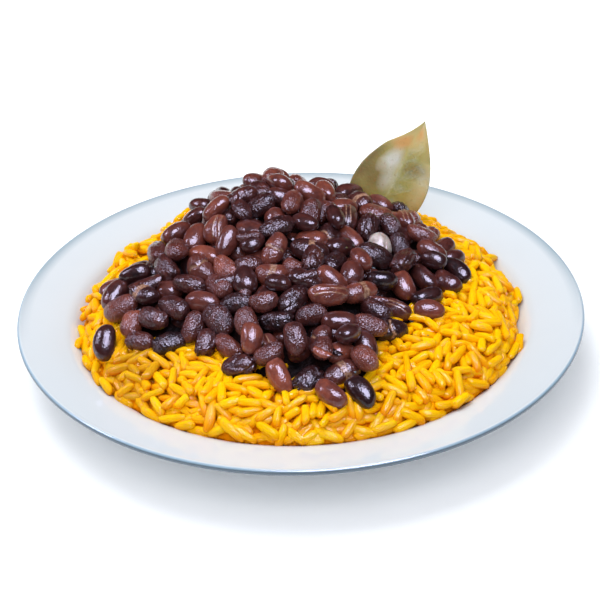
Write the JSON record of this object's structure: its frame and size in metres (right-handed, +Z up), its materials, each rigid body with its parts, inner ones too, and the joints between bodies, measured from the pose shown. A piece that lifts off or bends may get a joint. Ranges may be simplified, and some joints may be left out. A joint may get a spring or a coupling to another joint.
{
  "type": "rice and beans plate",
  "caption": "Round white dinner plate with a bed of yellow rice, a heap of glossy dark beans on it and a bay leaf standing at the back.",
  "frame": {"origin": "middle of the plate's foot, on the table", "axes": "+Z up through the middle of the plate, -Y towards the diner, +X to the diner's right"},
  "size_m": [0.228, 0.228, 0.0713],
  "materials": {
    "plate": "gloss",
    "rice": "satin",
    "beans": "gloss",
    "bay_leaf": "matte"
  },
  "bodies": {
    "root": {"plate": "plate", "rice": "rice", "beans": "beans", "bean_stray": "beans", "bay_leaf": "bay_leaf"}
  },
  "joints": []
}
